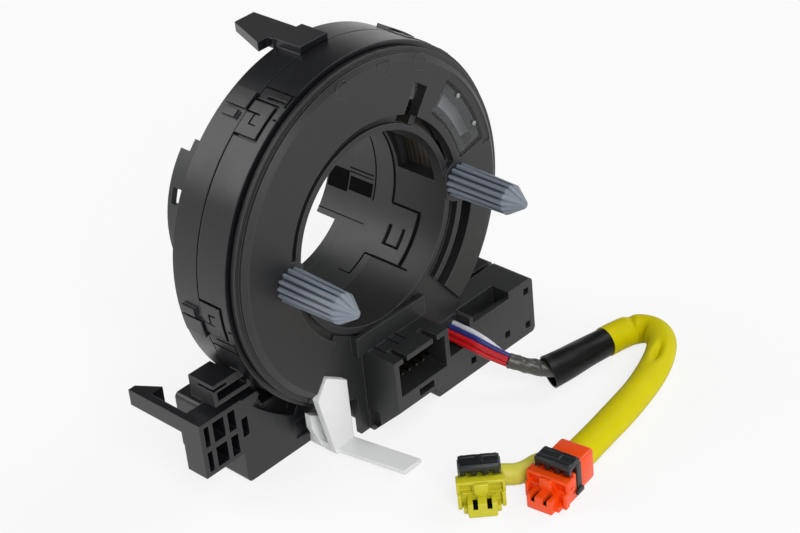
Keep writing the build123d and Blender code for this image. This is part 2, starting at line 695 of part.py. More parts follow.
# Wheel side connector block: back wall, socket on its gusset and the harness box
with BuildPart() as connector_block:
    sector(disc_radius, gap_inner_radius, gap_start_angle, gap_end_angle, block_wall_front, block_back)
    slab((back_wall_left, back_wall_right), (block_wall_front, block_back), (floor_z, -bore_radius))
    wall_lip_back = hub_front - wall_lip_gap
    slab((back_wall_left, back_wall_right), (wall_lip_back - wall_lip, block_wall_front),
         (socket_body_top, -bore_radius - wall_lip_drop))
    with BuildSketch(Plane.YZ.offset(socket_body_left)) as gusset:
        Polygon((socket_front, socket_body_bottom), (block_wall_front - gusset_reach, floor_z),
                (block_back, floor_z), (block_back, socket_body_top), (socket_front, socket_body_top), align=None)
    extrude(gusset.sketch, amount=socket_body_right - socket_body_left)
    slab((socket_body_right, box_right), (harness_box_front, block_back), (floor_z, box_top), corner=box_corner)
    slab((socket_body_left, box_right), (block_back, block_rear), (floor_z, box_top), corner=box_corner)
    ring(sweep_radius, 0, block_back, block_rear, Mode.SUBTRACT)
    ring(gap_inner_radius, 0, wall_lip_back, block_back, Mode.SUBTRACT)
    slab((socket_left, socket_right), (socket_front, socket_front + socket_depth), (socket_bottom, socket_top),
         Mode.SUBTRACT)
    for keyway_inset in keyway_insets:
        keyway_x = socket_left + keyway_inset
        slab((keyway_x - keyway_width / 2, keyway_x + keyway_width / 2),
             (socket_front, socket_front + keyway_depth), (socket_top, socket_body_top), Mode.SUBTRACT)
    for groove_inset in groove_insets:
        groove_x = socket_left + groove_inset
        slab((groove_x - groove_width / 2, groove_x + groove_width / 2),
             (socket_front + keyway_depth, block_wall_front),
             (socket_body_top - groove_depth, socket_body_top), Mode.SUBTRACT)
    latch_window_x = socket_left + latch_window_inset
    latch_window_z = socket_bottom - latch_window_drop
    slab((latch_window_x - latch_window_width / 2, latch_window_x + latch_window_width / 2),
         (socket_front, socket_front + latch_window_depth),
         (latch_window_z - latch_window_height / 2, latch_window_z + latch_window_height / 2), Mode.SUBTRACT)
    side_pocket_bottom = floor_z + side_pocket_rise
    for pocket_front, pocket_end in side_pocket_spans:
        slab((socket_body_left, socket_body_left + side_pocket_depth),
             (block_wall_front + pocket_front, block_wall_front + pocket_end),
             (side_pocket_bottom, side_pocket_bottom + side_pocket_height), Mode.SUBTRACT)
    slab((tray_left, tray_right), (harness_box_front + tray_wall, tray_back), (floor_z + tray_rise, box_top),
         Mode.SUBTRACT)
    slab((tray_left, tray_right), (harness_box_front, tray_back), (box_top - tray_dip, box_top), Mode.SUBTRACT)
    slab((socket_body_right, wire_port_right), (harness_box_front, wire_port_back),
         (floor_z + wire_port_rise, box_top), Mode.SUBTRACT)
    for hole_inset, hole_rise in square_hole_places:
        hole_x = box_right - hole_inset
        hole_z = floor_z + hole_rise
        slab((hole_x - square_hole / 2, hole_x + square_hole / 2),
             (harness_box_front, harness_box_front + square_hole_depth),
             (hole_z - square_hole / 2, hole_z + square_hole / 2), Mode.SUBTRACT)

# Contacts in the wheel side socket
with BuildPart() as wheel_terminals:
    terminal_holder(socket_left, socket_bottom, socket_width, socket_height, socket_front + socket_depth, -1)

# Shipping lock tab: post beside the disc's limb, sole, foot behind the rim and pull tail
with BuildPart() as lock_tab:
    lock_front = block_wall_front - lock_thickness
    sole_bottom = floor_z + lock_tail_thickness
    sole_top = sole_bottom + lock_sole
    edge_angle = gap_start_angle + lock_edge_angle
    plate([(lock_left, sole_bottom), (lock_right, sole_bottom), (lock_right, floor_z + lock_top_rise),
           polar(disc_radius - lock_top_inset, edge_angle), polar(disc_radius - lock_edge_inset, edge_angle)],
          lock_front, block_wall_front)
    slab((lock_left, lock_right), (lock_front, block_rear), (sole_bottom, sole_top))
    foot_radius = sweep_radius + lock_foot_clearance
    foot_left_z = -math.sqrt(foot_radius ** 2 - lock_foot_left ** 2)
    foot_right_z = -math.sqrt(foot_radius ** 2 - lock_right ** 2)
    foot_front = case_front + lock_foot_gap
    foot_back = foot_front + lock_thickness
    plate([(lock_foot_left, foot_left_z), (lock_right, foot_right_z), (lock_right, sole_bottom),
           (lock_left, sole_bottom), (lock_foot_left, foot_left_z - lock_foot_height)], foot_front, foot_back)
    ring(foot_radius, 0, foot_front, foot_back, Mode.SUBTRACT)
    tail_left = lock_right - lock_tail_width
    tail_end = block_wall_front - lock_tail_length
    flat([(tail_left, block_wall_front), (lock_right, block_wall_front),
          (lock_right + lock_tail_drift, tail_end), (tail_left + lock_tail_drift, tail_end)],
         sole_bottom + lock_tail_thickness, lock_tail_thickness)

# Wires, tape, sleeve and tubes of the airbag harness
lay = wire_lay * wire_diameter / math.sqrt(2)
wire_offsets = {"wire_red_1": (lay, -lay), "wire_red_2": (lay, lay), "wire_blue": (-lay, -lay),
                "wire_white": (-lay, lay)}
bundle_heading = (Vector(*tape_start) - Vector(*wire_points[-1])).normalized()
bundle_side = bundle_heading.cross(Vector(0, 0, 1)).normalized()
bundle_up = bundle_side.cross(bundle_heading)
wires = {}
for wire_name, (along_side, along_up) in wire_offsets.items():
    shift = bundle_side * along_side + bundle_up * along_up
    wire_route = [Vector(*point) + shift for point in [*wire_points, tape_start]]
    wire_route.insert(0, Vector(wire_route[0].X, wire_port_back, wire_route[0].Z))
    with BuildPart() as wire:
        tube(wire_name, wire_route, wire_diameter)
    wires[wire_name] = wire.part
with BuildPart() as tape_wrap:
    tube("tape_wrap", [tape_start, *tape_points, sleeve_start], tape_diameter)
with BuildPart() as harness_sleeve:
    tube("harness_sleeve", [sleeve_start, sleeve_end], sleeve_diameter)
with BuildPart() as yellow_tube:
    tube("yellow_tube", [sleeve_end, *tube_points, tube_end], tube_diameter)
with BuildPart() as branch_tube:
    tube("branch_tube", [branch_start, *branch_points, branch_end], branch_diameter)


def plug_base(back_point, heading):
    return Plane(origin=back_point - Vector(0, 0, plug_axis_height), x_dir=heading, z_dir=(0, 0, 1))


def plug_box(base, start, length, width, bottom, top, corner, mode=Mode.ADD):
    with BuildSketch(base.offset(bottom)) as outline:
        with Locations((start + length / 2, 0)):
            RectangleRounded(length, width, corner)
    extrude(outline.sketch, amount=top - bottom, mode=mode)


def lock_legs(base, top, length, fit, mode=Mode.ADD):
    leg_x = plug_lock_setback + plug_lock_leg_width / 2
    leg_y = (plug_width - plug_lock_leg_thickness) / 2
    for side in (-1, 1):
        with BuildSketch(base.offset(top)) as legs:
            with Locations((leg_x, side * leg_y)):
                Rectangle(plug_lock_leg_width + 2 * fit, plug_lock_leg_thickness + 2 * fit)
        extrude(legs.sketch, amount=-length, mode=mode)


def squib_plug(base):
    body_end = plug_length - plug_nose_length
    collar_start = body_end - plug_collar
    collar_width = plug_width + 2 * plug_collar_grow
    plug_box(base, 0, plug_rear_length + plug_corner, plug_width - 2 * plug_rear_inset, 0,
             plug_height - plug_rear_inset, plug_corner)
    plug_box(base, plug_rear_length, body_end - plug_rear_length, plug_width, 0, plug_height, plug_corner)
    plug_box(base, collar_start, plug_collar, collar_width, plug_collar_rise, plug_height, plug_corner)
    for side in (-1, 1):
        with BuildSketch(base.offset(plug_height)) as collar_slots:
            with Locations((body_end - plug_collar / 2, side * (collar_width / 2 - plug_collar_slot_width))):
                Rectangle(plug_collar - 2 * plug_corner, plug_collar_slot_width)
        extrude(collar_slots.sketch, amount=-plug_collar_slot_depth, mode=Mode.SUBTRACT)
    nose_plane = Plane(origin=base.origin + base.x_dir * plug_length, x_dir=base.y_dir * -1, z_dir=base.x_dir * -1)
    with BuildSketch(nose_plane) as nose:
        with Locations((0, plug_nose_height / 2)):
            RectangleRounded(plug_nose_width, plug_nose_height, plug_nose_corner)
    extrude(nose.sketch, amount=plug_nose_length + plug_corner)
    with BuildSketch(nose_plane) as holes:
        with Locations((0, plug_nose_height / 2)):
            with GridLocations(plug_hole_spacing, plug_hole_height, 2, 1):
                Rectangle(plug_hole_width, plug_hole_height)
    extrude(holes.sketch, amount=plug_hole_depth, mode=Mode.SUBTRACT)
    lock_legs(base, plug_height, plug_lock_leg_length, plug_lock_fit, Mode.SUBTRACT)


def squib_lock(base):
    cap_bottom = plug_height + plug_lock_lift
    plug_box(base, plug_lock_setback, plug_lock_length, plug_lock_width, cap_bottom, cap_bottom + plug_lock_cap,
             plug_lock_corner)
    lock_legs(base, cap_bottom, plug_lock_leg_length, 0)


# Squib plugs with their push-down locks, the orange one fed from behind and the yellow one from the side
orange_heading = (Vector(*tube_end) - Vector(*tube_points[-1])).normalized()
orange_base = plug_base(Vector(*tube_end), orange_heading)
branch_heading = (Vector(*branch_end) - Vector(*branch_points[-1])).normalized()
yellow_heading = Vector(0, 0, 1).cross(branch_heading)
yellow_axis = Vector(*branch_end) + branch_heading * (plug_width / 2 + plug_side_gap)
yellow_base = plug_base(yellow_axis - yellow_heading * plug_side_entry, yellow_heading)
with BuildPart() as orange_plug:
    squib_plug(orange_base)
with BuildPart() as orange_plug_lock:
    squib_lock(orange_base)
with BuildPart() as yellow_plug:
    squib_plug(yellow_base)
with BuildPart() as yellow_plug_lock:
    squib_lock(yellow_base)

save(stator_case.part, "stator_case")
save(rear_case.part, "rear_case")
save(column_terminals.part, "column_terminals")
save(slip_sheet.part, "slip_sheet")
save(ribbon_block_stator.part, "ribbon_block_stator")
save(flat_cable.part, "flat_cable")
save(ribbon_block_rotor.part, "ribbon_block_rotor")
save(carrier_ring.part, "carrier_ring")
save(rotor_disc.part, "rotor_disc")
save(window_lens.part, "window_lens")
save(cancel_cam.part, "cancel_cam")
save(drive_pin_left.part, "drive_pin_left")
save(drive_pin_right.part, "drive_pin_right")
save(connector_block.part, "connector_block")
save(wheel_terminals.part, "wheel_terminals")
save(lock_tab.part, "lock_tab")
for wire_name, wire_part in wires.items():
    save(wire_part, wire_name)
save(tape_wrap.part, "tape_wrap")
save(harness_sleeve.part, "harness_sleeve")
save(yellow_tube.part, "yellow_tube")
save(branch_tube.part, "branch_tube")
save(orange_plug.part, "orange_plug")
save(orange_plug_lock.part, "orange_plug_lock")
save(yellow_plug.part, "yellow_plug")
save(yellow_plug_lock.part, "yellow_plug_lock")
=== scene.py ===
import bpy
import math
from mathutils import Matrix, Vector


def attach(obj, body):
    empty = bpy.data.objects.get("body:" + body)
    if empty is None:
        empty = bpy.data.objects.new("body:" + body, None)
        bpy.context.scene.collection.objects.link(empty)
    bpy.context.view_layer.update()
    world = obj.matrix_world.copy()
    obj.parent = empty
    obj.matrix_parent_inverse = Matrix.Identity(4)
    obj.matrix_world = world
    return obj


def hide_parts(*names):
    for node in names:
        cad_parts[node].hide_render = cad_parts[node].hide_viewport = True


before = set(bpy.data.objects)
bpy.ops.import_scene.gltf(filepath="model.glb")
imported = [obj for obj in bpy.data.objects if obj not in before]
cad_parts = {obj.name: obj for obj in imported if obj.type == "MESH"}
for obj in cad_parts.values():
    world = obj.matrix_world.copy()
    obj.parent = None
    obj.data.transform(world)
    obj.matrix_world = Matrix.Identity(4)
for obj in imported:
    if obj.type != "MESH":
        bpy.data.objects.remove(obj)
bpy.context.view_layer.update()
mm = 0.001
worldUp = Vector((0, 0, 1))
pureWhite = (1.0, 1.0, 1.0, 1.0)
print("frame loaded with", len(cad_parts), "nodes")

# camera at the photo's angle
cameraView = {"azimuth": -42.9, "elevation": 31.0, "roll": -6.4, "distance": 0.56, "lens": 94.275,
              "sensorWidth": 36, "shiftX": 0.03475, "shiftY": -0.04775}
turn = math.radians(cameraView["azimuth"])
rise = math.radians(cameraView["elevation"])
roll = math.radians(cameraView["roll"])
backward = Vector((math.sin(turn) * math.cos(rise), -math.cos(turn) * math.cos(rise), math.sin(rise)))
level = Vector((math.cos(turn), math.sin(turn), 0))
upright = backward.cross(level)
right = level * math.cos(roll) + upright * math.sin(roll)
above = upright * math.cos(roll) - level * math.sin(roll)
cameraData = bpy.data.cameras.new("photoCamera")
cameraData.lens = cameraView["lens"]
cameraData.sensor_width = cameraView["sensorWidth"]
cameraData.shift_x = cameraView["shiftX"]
cameraData.shift_y = cameraView["shiftY"]
camera = bpy.data.objects.new("photoCamera", cameraData)
cameraAxes = Matrix((right, above, backward)).transposed().to_4x4()
camera.matrix_world = Matrix.Translation(backward * cameraView["distance"]) @ cameraAxes
bpy.context.scene.collection.objects.link(camera)
bpy.context.scene.camera = camera
bpy.context.scene.view_settings.view_transform = "Standard"
print("camera set")


def feed(tree, entry, value):  # link a socket to an input, or set the input's own value
    if isinstance(value, Knot):
        tree.links.new(value.socket, entry)
    else:
        entry.default_value = value


class Knot:  # a shader socket that takes part in sums
    def __init__(self, tree, socket):
        self.tree = tree
        self.socket = socket

    def maths(self, operation, first, second):
        step = self.tree.nodes.new("ShaderNodeMath")
        step.operation = operation
        for entry, value in zip(step.inputs, (first, second)):
            feed(self.tree, entry, value)
        return Knot(self.tree, step.outputs[0])

    def __add__(self, other):
        return self.maths("ADD", self, other)

    def __radd__(self, other):
        return self.maths("ADD", other, self)

    def __sub__(self, other):
        return self.maths("SUBTRACT", self, other)

    def __rsub__(self, other):
        return self.maths("SUBTRACT", other, self)

    def __mul__(self, other):
        return self.maths("MULTIPLY", self, other)

    def __rmul__(self, other):
        return self.maths("MULTIPLY", other, self)

    def __truediv__(self, other):
        return self.maths("DIVIDE", self, other)

    def __rtruediv__(self, other):
        return self.maths("DIVIDE", other, self)


class Finish:  # one material, or the world, and its node tree
    def __init__(self, name, tree=None):
        if tree is None:
            self.material = bpy.data.materials.new(name)
            self.material.use_nodes = True
            tree = self.material.node_tree
        self.tree = tree
        self.shader = tree.nodes.get("Principled BSDF")

    def node(self, kind, settings=None, inputs=None, out=0):
        step = self.tree.nodes.new(kind)
        for key, value in (settings or {}).items():
            setattr(step, key, value)
        for key, value in (inputs or {}).items():
            feed(self.tree, step.inputs[key], value)
        return Knot(self.tree, step.outputs[out])

    def set(self, **values):  # sockets of the shader, with _ for each space in their names
        for key, value in values.items():
            feed(self.tree, self.shader.inputs[key.replace("_", " ")], value)

    def place(self):
        return self.node("ShaderNodeTexCoord", out="Object")

    def along(self, axis):  # one coordinate of the place: X, Y or Z
        return self.node("ShaderNodeSeparateXYZ", inputs={0: self.place()}, out=axis)

    def noise(self, scale, detail=3.0, roughness=0.55):
        inputs = {"Vector": self.place(), "Scale": scale, "Detail": detail, "Roughness": roughness}
        return self.node("ShaderNodeTexNoise", inputs=inputs)

    def blend(self, factor, first, second):  # sockets 6 and 7, and output 2, are a Mix node's colours
        return self.node("ShaderNodeMix", {"data_type": "RGBA"}, {0: factor, 6: first, 7: second}, out=2)

    def ranged(self, value, limits, results=(0.0, 1.0), kind="LINEAR"):  # limits of the value to results
        inputs = {0: value, 1: limits[0], 2: limits[1], 3: results[0], 4: results[1]}
        return self.node("ShaderNodeMapRange", {"interpolation_type": kind}, inputs)


def linear(level):  # the standard curve of screen colours
    return level / 12.92 if level <= 0.04045 else ((level + 0.055) / 1.055) ** 2.4


def tint(*levels):  # screen colour to the linear colour that the shader takes
    return (*[linear(level / 255) for level in levels], 1.0)


def shaded(colour, factor):
    return (*[min(1.0, value * factor) for value in colour[:3]], 1.0)


noiseMiddle = 0.5
matFinishes = {}


def mouldedPlastic(look):
    made = Finish(look["name"])
    colour = look["colour"]
    grain = made.noise(look["grainScale"], look["grainDetail"])
    cloud = made.noise(look["cloudScale"], look["cloudDetail"])
    scuff = made.noise(look["scuffScale"], look["scuffDetail"], look["scuffRoughness"])
    edge = made.node("ShaderNodeBevel", {"samples": look["edgeSamples"]}, {"Radius": look["edgeRound"]})
    flat = made.node("ShaderNodeNewGeometry", out="Normal")
    facing = made.node("ShaderNodeVectorMath", {"operation": "DOT_PRODUCT"}, {0: edge, 1: flat}, out="Value")
    worn = made.ranged(facing, look["edgeFacing"], (0.0, look["edgeWear"]))
    body = made.blend(cloud, shaded(colour, 1 - look["mottle"]), shaded(colour, 1 + look["mottle"]))
    if "flutes" in look:
        body = paintedFluteShade(made, look, body)
    made.set(Base_Color=made.blend(worn * (look["wornLeast"] + scuff), body, look["wornColour"]))
    clouded = look["roughness"] + (cloud - noiseMiddle) * look["roughnessSpread"]
    made.set(Roughness=clouded + (scuff - noiseMiddle) * look["scuffSpread"])
    bumped = {"Strength": look["grainStrength"], "Distance": look["grainDepth"], "Height": grain,
              "Normal": edge}
    made.set(Normal=made.node("ShaderNodeBump", inputs=bumped), Specular_IOR_Level=look["specular"])
    return made.material


# painted shade: the pin's colour is darkened in the hollows of its flutes, less so on its cone
def paintedFluteShade(made, look, body):  # dark hollows round a pin's shank, paler on its cone
    across, deep, high = [made.along(axis) for axis in "XYZ"]
    around = made.node("ShaderNodeMath", {"operation": "ARCTAN2"}, {0: high, 1: across - look["middle"]})
    hollow = made.node("ShaderNodeMath", {"operation": "COSINE"}, {0: around * look["flutes"]})
    dark = made.ranged(hollow, look["fluteShadeEdge"])
    shank = made.ranged(deep, look["coneDepths"], (look["coneShare"], 1.0))
    return made.blend(dark * shank, body, look["fluteShadeColour"])


# moulded plastics, with their lengths in metres
blackPlastic = {"colour": tint(19, 20, 23), "wornColour": tint(84, 86, 92), "mottle": 0.18, "specular": 0.5,
                "roughness": 0.3, "roughnessSpread": 0.16, "cloudScale": 60.0, "cloudDetail": 2.0,
                "scuffSpread": 0.12, "scuffScale": 420.0, "scuffDetail": 6.0, "scuffRoughness": 0.7,
                "grainScale": 1900.0, "grainDetail": 4.0, "grainStrength": 0.18, "grainDepth": 0.00006,
                "edgeRound": 0.0004, "edgeSamples": 4, "edgeFacing": (0.99, 0.82), "edgeWear": 0.5,
                "wornLeast": 0.4}
# the pins' hollow colour is painted shade, laid into the hollows of their flutes
pinPlastic = {"colour": tint(122, 131, 142), "wornColour": tint(176, 183, 190), "roughness": 0.38,
              "edgeWear": 0.25, "mottle": 0.08, "edgeRound": 0.0003, "flutes": 14,
              "fluteShadeColour": tint(46, 52, 60), "fluteShadeEdge": (-0.1, 0.9),
              "coneDepths": (-0.0225, -0.0195), "coneShare": 0.3}
plugPlastic = {"roughness": 0.34, "mottle": 0.06, "edgeRound": 0.0002}
plasticLooks = {
    "case": {"name": "case_black_plastic"},
    "disc": {"name": "disc_black_plastic", "colour": tint(30, 30, 31), "roughness": 0.46,
             "grainStrength": 0.45, "grainScale": 1500.0, "edgeWear": 0.9},
    "block": {"name": "block_black_plastic", "colour": tint(36, 37, 38), "roughness": 0.42},
    "cam": {"name": "cam_black_plastic", "colour": tint(42, 43, 44), "roughness": 0.42},
    "pinLeft": {**pinPlastic, "name": "pin_grey_plastic_left", "middle": -0.0325},
    "pinRight": {**pinPlastic, "name": "pin_grey_plastic_right", "middle": 0.0325},
    "lockTab": {"name": "lock_white_plastic", "colour": tint(238, 239, 239),
                "wornColour": tint(248, 248, 248), "roughness": 0.4, "edgeWear": 0.4, "mottle": 0.03},
    "carrier": {"name": "carrier_grey_plastic", "colour": tint(216, 218, 219),
                "wornColour": tint(226, 228, 229), "mottle": 0.03},
    "plugLock": {"name": "plug_lock_black_plastic", "colour": tint(30, 33, 36), "edgeRound": 0.0002},
    "orange": {**plugPlastic, "name": "plug_orange_plastic", "colour": tint(250, 78, 6),
               "wornColour": tint(252, 128, 52)},
    "lemon": {**plugPlastic, "name": "plug_lemon_plastic", "colour": tint(206, 198, 34),
              "wornColour": tint(226, 220, 96)},
    "frame": {"name": "window_frame_plastic", "colour": tint(13, 13, 14), "roughness": 0.6, "edgeWear": 0.2},
    # painted shade: a near-black, dull finish for plates, lines and blocks that stand in for shade in gaps,
    # slots and channels
    "gapShade": {"name": "gap_shadow_plastic", "colour": tint(5, 5, 6), "wornColour": tint(12, 12, 13),
            "roughness": 0.85, "specular": 0.1},
    "windowPin": {"name": "window_pin_plastic", "colour": tint(150, 154, 156),
                  "wornColour": tint(190, 192, 194), "mottle": 0.06, "edgeWear": 0.2},
    "slip": {"name": "slip_sheet_film", "colour": tint(70, 71, 70), "roughness": 0.5}}
for finishName, plasticLook in plasticLooks.items():
    matFinishes[finishName] = mouldedPlastic({**blackPlastic, **plasticLook})


def clearLens(look):
    made = Finish(look["name"])
    haze = made.noise(look["hazeScale"], look["hazeDetail"])
    made.set(Base_Color=made.blend(haze, look["colour"], look["hazeColour"]))
    made.set(Roughness=look["roughness"] + haze * look["hazeSpread"])
    made.set(Transmission_Weight=1.0, IOR=look["ior"])
    return made.material


lensLook = {"name": "lens_clear_plastic", "colour": tint(226, 230, 234), "hazeColour": tint(238, 240, 242),
            "roughness": 0.04, "hazeScale": 300.0, "hazeDetail": 4.0, "hazeSpread": 0.08, "ior": 1.36}
matFinishes["lens"] = clearLens(lensLook)


def thinMetal(look):
    made = Finish(look["name"])
    streak = made.noise(look["streakScale"], look["streakDetail"])
    made.set(Base_Color=made.blend(streak, look["colour"], shaded(look["colour"], look["dull"])))
    made.set(Roughness=look["roughness"] + streak * look["streakSpread"], Metallic=1.0)
    return made.material


terminalLook = {"name": "terminal_tinned_brass", "colour": tint(104, 98, 84), "dull": 0.7, "roughness": 0.22,
                "streakScale": 900.0, "streakDetail": 5.0, "streakSpread": 0.2}
matFinishes["terminal"] = thinMetal(terminalLook)


def ribbonFilm(look):  # copper tracks that run along the ribbon
    made = Finish(look["name"])
    pitch = look["pitch"]
    lanes = made.node("ShaderNodeMath", {"operation": "PINGPONG"}, {0: made.along("Y"), 1: pitch}) / pitch
    track = made.ranged(lanes, look["trackEdge"])
    made.set(Base_Color=made.blend(track, look["film"], look["copper"]))
    made.set(Roughness=look["roughness"] + made.noise(look["dustScale"]) * look["dustSpread"])
    return made.material


ribbonLook = {"name": "ribbon_film", "film": tint(58, 56, 53), "copper": tint(92, 80, 66), "pitch": 0.0009,
              "trackEdge": (0.45, 0.6), "roughness": 0.3, "dustScale": 500.0, "dustSpread": 0.15}
matFinishes["ribbon"] = ribbonFilm(ribbonLook)


def insulation(look):
    made = Finish(look["name"])
    grime = made.noise(look["grimeScale"], look["grimeDetail"])
    fine = made.noise(look["grimeScale"] * look["fineTimes"])
    made.set(Base_Color=made.blend(grime, look["colour"], look["shade"]))
    made.set(Roughness=look["roughness"] + (grime - noiseMiddle) * look["grimeSpread"])
    bumped = {"Strength": look["bump"], "Distance": look["bumpDepth"],
              "Height": fine * look["fineShare"] + grime}
    made.set(Normal=made.node("ShaderNodeBump", inputs=bumped), Specular_IOR_Level=look["specular"])
    made.set(Subsurface_Weight=look["soft"], Subsurface_Radius=look["softRadius"])
    made.set(Subsurface_Scale=look["softScale"])
    return made.material


wireVinyl = {"roughness": 0.36, "grimeScale": 240.0, "grimeDetail": 4.0, "grimeSpread": 0.2, "fineTimes": 6,
             "fineShare": 0.4, "bump": 0.12, "bumpDepth": 0.0002, "specular": 0.5, "soft": 0.0,
             "softRadius": (0.004, 0.003, 0.0005), "softScale": 0.5}
vinylLooks = {
    "wireRed": {"name": "wire_red_insulation", "colour": tint(214, 28, 34), "shade": tint(176, 18, 26)},
    "wireBlue": {"name": "wire_blue_insulation", "colour": tint(44, 58, 140), "shade": tint(30, 38, 98)},
    "wireWhite": {"name": "wire_white_insulation", "colour": tint(226, 226, 232),
                  "shade": tint(190, 192, 206), "roughness": 0.4},
    "tape": {"name": "tape_dark_vinyl", "colour": tint(84, 83, 76), "shade": tint(52, 51, 46),
             "roughness": 0.34, "grimeScale": 300.0, "bump": 0.35},
    "sleeve": {"name": "sleeve_black_vinyl", "colour": tint(11, 12, 13), "shade": tint(19, 20, 22),
               "roughness": 0.4, "grimeScale": 300.0, "bump": 0.35, "specular": 0.2},
    "tube": {"name": "tube_yellow_vinyl", "colour": tint(222, 211, 0), "shade": tint(206, 192, 0),
             "roughness": 0.52, "grimeScale": 120.0, "bump": 0.15, "soft": 0.05, "specular": 0.12},
    "branch": {"name": "branch_pale_vinyl", "colour": tint(222, 218, 96), "shade": tint(206, 200, 70),
               "grimeScale": 160.0, "bump": 0.15, "soft": 0.2, "specular": 0.2}}
for finishName, vinylLook in vinylLooks.items():
    matFinishes[finishName] = insulation({**wireVinyl, **vinylLook})
print("finishes made:", len(matFinishes))

# finishes of the nodes whose shape stays
nodeFinishes = {"stator_case": "case", "rear_case": "case", "column_terminals": "terminal",
                "slip_sheet": "slip", "ribbon_block_stator": "cam", "flat_cable": "ribbon",
                "ribbon_block_rotor": "cam", "carrier_ring": "carrier", "rotor_disc": "disc",
                "window_lens": "lens", "cancel_cam": "cam", "drive_pin_left": "pinLeft",
                "drive_pin_right": "pinRight", "connector_block": "block", "wheel_terminals": "terminal",
                "lock_tab": "lockTab"}
for nodeName, finishName in nodeFinishes.items():
    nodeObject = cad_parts[nodeName]
    if not nodeObject.material_slots:
        nodeObject.data.materials.append(matFinishes[finishName])
    for materialSlot in nodeObject.material_slots:
        materialSlot.material = matFinishes[finishName]
print("nodes dressed:", len(nodeFinishes))


def pickOnly(piece):
    bpy.ops.object.select_all(action="DESELECT")
    piece.select_set(True)
    bpy.context.view_layer.objects.active = piece


def added(primitive, **settings):  # a new primitive, with nothing else selected
    bpy.ops.object.select_all(action="DESELECT")
    primitive(**settings)
    return bpy.context.object


def edited(piece, operator, **settings):  # one step in edit mode on the whole piece
    pickOnly(piece)
    bpy.ops.object.mode_set(mode="EDIT")
    bpy.ops.mesh.select_all(action="SELECT")
    operator(**settings)
    bpy.ops.object.mode_set(mode="OBJECT")


def applied(piece, kind, **settings):
    pickOnly(piece)
    modifier = piece.modifiers.new(kind.lower(), kind)
    for key, value in settings.items():
        setattr(modifier, key, value)
    bpy.ops.object.modifier_apply(modifier=modifier.name)


def outward(piece):
    edited(piece, bpy.ops.mesh.normals_make_consistent, inside=False)


smoothAngle = math.radians(40.0)


def done(piece, body, finish, stands=()):
    pickOnly(piece)
    bpy.ops.object.shade_smooth_by_angle(angle=smoothAngle)
    piece.data.materials.clear()
    piece.data.materials.append(matFinishes[finish])
    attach(piece, body)
    if stands:
        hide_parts(*stands)


def between(ends, share):
    return ends[0] + (ends[1] - ends[0]) * share


def arcPlate(radii, angles, depths, cuts):  # plate bent round the wheel axis, in millimetres and degrees
    piece = added(bpy.ops.mesh.primitive_grid_add, x_subdivisions=cuts, y_subdivisions=1, size=1.0)
    edited(piece, bpy.ops.mesh.extrude_region_move, TRANSFORM_OT_translate={"value": (0, 0, 1)})
    for vertex in piece.data.vertices:  # the grid runs from -0.5 to 0.5
        turned = math.radians(between(angles, vertex.co.x + 0.5))
        reach = between(radii, vertex.co.y + 0.5)
        deep = between(depths, vertex.co.z)
        vertex.co = Vector((reach * math.cos(turned), deep, reach * math.sin(turned))) * mm
    outward(piece)
    return piece


def blockBetween(low, high, rounding=0.0):  # block from two corners in millimetres, with rounded edges
    piece = added(bpy.ops.mesh.primitive_cube_add, size=1.0)
    piece.scale = [(after - before) * mm for before, after in zip(low, high)]
    piece.location = [(after + before) / 2 * mm for before, after in zip(low, high)]
    bpy.ops.object.transform_apply(location=True, rotation=True, scale=True)
    if rounding:
        edited(piece, bpy.ops.mesh.bevel, offset=rounding * mm, segments=3, affect="EDGES")
    return piece


def combine(piece, operation, others):  # others melted into the piece, or cut out of it
    for other in others:
        applied(piece, "BOOLEAN", object=other, operation=operation, solver="EXACT")
        bpy.data.objects.remove(other)


def blockModel(look):  # blocks melted into one, then hollows cut out of it
    model = blockBetween(*look["blocks"][0])
    combine(model, "UNION", [blockBetween(*corners) for corners in look["blocks"][1:]])
    combine(model, "DIFFERENCE", [blockBetween(*corners) for corners in look["hollows"]])
    return model


def bothSides(corners):  # a block, and the same block on the other side of the plug
    low, high, *rest = corners
    return [corners, ((low[0], -high[1], low[2]), (high[0], -low[1], high[2]), *rest)]


def placedCopy(model, name, corner, heading):
    copy = bpy.data.objects.new(name, model.data.copy())
    bpy.context.scene.collection.objects.link(copy)
    ahead = Vector(heading).normalized()
    axes = Matrix((ahead, worldUp.cross(ahead), worldUp)).transposed().to_4x4()
    copy.data.transform(Matrix.Translation(Vector(corner) * mm) @ axes)
    return copy


def joined(name, pieces):
    pickOnly(pieces[0])
    for piece in pieces[1:]:
        piece.select_set(True)
    bpy.ops.object.join()
    pieces[0].name = name
    return pieces[0]


